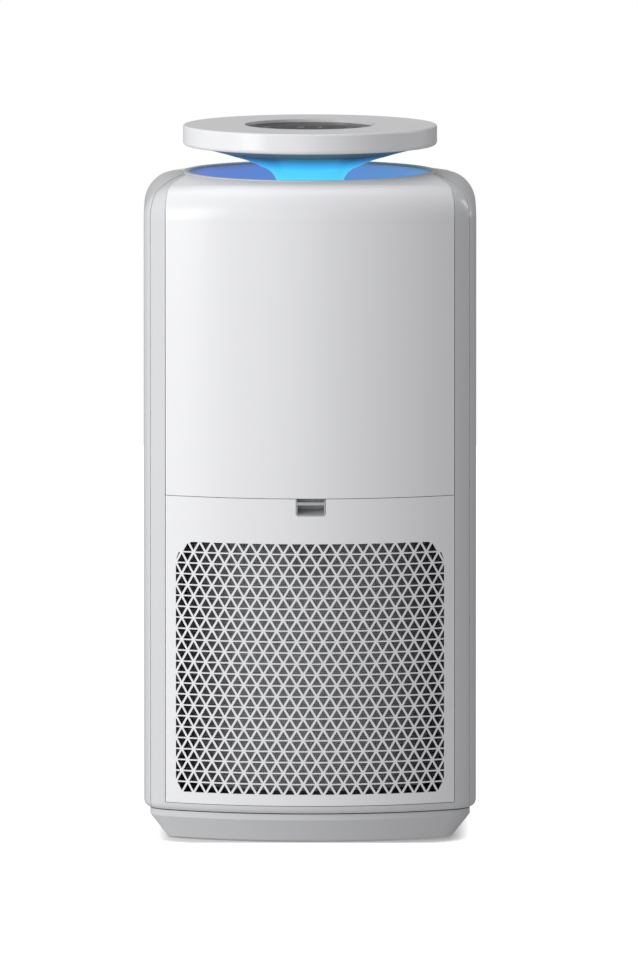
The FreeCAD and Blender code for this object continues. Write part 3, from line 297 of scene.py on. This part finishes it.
M["lit_blue"] = painted_glow_cone()
M["bowl_blue"] = painted_glow_bowl()
M["control_glass"] = glass_black()

for sp in frame["record"]["subparts"]:
    ob = N[sp["node"]]
    mat = {"disc_underside": UNDERSIDE_PAINTED_SHADE, "inlet_grille": GRILLE, "filter_cover": GRILLE}.get(sp["node"], M[sp["material_slot"]])
    if not ob.material_slots:
        ob.data.materials.append(mat)
    for s in ob.material_slots:
        s.material = mat


N["outlet_bowl"].visible_diffuse = False


# ------------------------------------------------------------------ stage, light, camera
def floor():
    bm = bmesh.new()
    bmesh.ops.create_grid(bm, x_segments=2, y_segments=2, size=3.0)
    me = bpy.data.meshes.new("stage_floor")
    bm.to_mesh(me)
    bm.free()
    ob = bpy.data.objects.new("stage_floor", me)
    bpy.context.scene.collection.objects.link(ob)
    m, nt, b = new_mat("stage_pale")
    v = coords(nt)
    nt.links.new(ramp(nt, noise(nt, v, 3.0), [(0.3, (0.88, 0.88, 0.88)), (0.7, (0.90, 0.90, 0.90))]), b.inputs["Base Color"])
    b.inputs["Roughness"].default_value = 0.9
    b.inputs["Specular IOR Level"].default_value = 0.0
    # Painted contact shadow: the floor's emission drops to almost nothing within a few centimetres of the base
    # footprint and rises to near white further out, darkening the floor right beside the base.
    sep = nt.nodes.new("ShaderNodeSeparateXYZ")
    nt.links.new(v, sep.inputs[0])
    ax = math_node(nt, "ABSOLUTE", sep.outputs["X"])
    ay = math_node(nt, "ABSOLUTE", sep.outputs["Y"])
    dx = math_node(nt, "MAXIMUM", math_node(nt, "SUBTRACT", ax, 0.08), 0.0)
    dy = math_node(nt, "MAXIMUM", math_node(nt, "SUBTRACT", ay, 0.08), 0.0)
    footprint_dist = math_node(nt, "SQRT", math_node(nt, "ADD", math_node(nt, "MULTIPLY", dx, dx), math_node(nt, "MULTIPLY", dy, dy)))
    b.inputs["Emission Color"].default_value = (1, 1, 1, 1)
    contact_shadow_lift = nt.nodes.new("ShaderNodeMapRange")
    contact_shadow_lift.interpolation_type = "SMOOTHSTEP"
    contact_shadow_lift.inputs["From Min"].default_value = 0.018
    contact_shadow_lift.inputs["From Max"].default_value = 0.043
    contact_shadow_lift.inputs["To Min"].default_value = 0.02
    contact_shadow_lift.inputs["To Max"].default_value = 0.95
    nt.links.new(footprint_dist, contact_shadow_lift.inputs["Value"])
    nt.links.new(contact_shadow_lift.outputs["Result"], b.inputs["Emission Strength"])
    me.materials.append(m)
    ob.visible_diffuse = False
    ob.visible_glossy = False
    return ob


floor()


def area(name, loc, target, size, power, color=(1, 1, 1), size_y=None):
    d = bpy.data.lights.new(name, "AREA")
    d.energy = power
    d.color = color
    d.size = size
    if size_y:
        d.shape = "RECTANGLE"
        d.size_y = size_y
    o = bpy.data.objects.new(name, d)
    bpy.context.scene.collection.objects.link(o)
    o.location = loc
    o.rotation_euler = (Vector(target) - Vector(loc)).to_track_quat("-Z", "Y").to_euler()
    return o


area("key_left", (-1.9, -1.35, 0.95), (0, 0, 0.28), 0.9, 20.8, size_y=1.5)
area("front_fill", (-0.5, -2.6, 0.7), (0, 0, 0.25), 1.4, 6.5)
area("top_soft", (-0.2, 0.4, 2.1), (0, 0, 0.3), 1.4, 10.0)
area("rim_right", (1.7, 0.9, 1.0), (0.05, 0, 0.42), 0.35, 4.5, size_y=1.2)

w = bpy.data.worlds.new("studio")
w.use_nodes = True
nt = w.node_tree
bg = nt.nodes["Background"]
bg.inputs["Color"].default_value = (1, 1, 1, 1)
wtc = nt.nodes.new("ShaderNodeTexCoord")
wsep = nt.nodes.new("ShaderNodeSeparateXYZ")
nt.links.new(wtc.outputs["Generated"], wsep.inputs[0])
side = nt.nodes.new("ShaderNodeMapRange")
side.inputs["From Min"].default_value = -1.0
side.inputs["From Max"].default_value = 1.0
side.inputs["To Min"].default_value = 0.78
side.inputs["To Max"].default_value = 0.24
nt.links.new(wsep.outputs["X"], side.inputs["Value"])
back = nt.nodes.new("ShaderNodeMapRange")
back.inputs["From Min"].default_value = 0.0
back.inputs["From Max"].default_value = 1.0
back.inputs["To Min"].default_value = 1.0
back.inputs["To Max"].default_value = 0.55
nt.links.new(wsep.outputs["Y"], back.inputs["Value"])
nt.links.new(math_node(nt, "MULTIPLY", side.outputs["Result"], back.outputs["Result"]), bg.inputs["Strength"])
bg2 = nt.nodes.new("ShaderNodeBackground")
bg2.inputs["Color"].default_value = (1, 1, 1, 1)
bg2.inputs["Strength"].default_value = 1.0
lp = nt.nodes.new("ShaderNodeLightPath")
mx = nt.nodes.new("ShaderNodeMixShader")
nt.links.new(lp.outputs["Is Camera Ray"], mx.inputs["Fac"])
nt.links.new(bg.outputs["Background"], mx.inputs[1])
nt.links.new(bg2.outputs["Background"], mx.inputs[2])
nt.links.new(mx.outputs["Shader"], nt.nodes["World Output"].inputs["Surface"])
bpy.context.scene.world = w
bpy.context.scene.view_settings.view_transform = "Standard"
bpy.context.scene.view_settings.look = "None"

cam_d = bpy.data.cameras.new("camera")
cam = bpy.data.objects.new("camera", cam_d)
bpy.context.scene.collection.objects.link(cam)
cam_d.type = "PERSP"
cam_d.lens = 1000.0
cam_d.sensor_width = 36.0
cam_d.clip_start = 0.1
cam_d.clip_end = 100.0
el = math.radians(5.35)
dist = 0.6936 / 36.0 * 1000.0
target = Vector((0.00685, 0.0, 0.2522))
cam.location = target + Vector((0, -math.cos(el), math.sin(el))) * dist
cam.rotation_euler = (target - cam.location).to_track_quat("-Z", "Y").to_euler()
bpy.context.scene.camera = cam
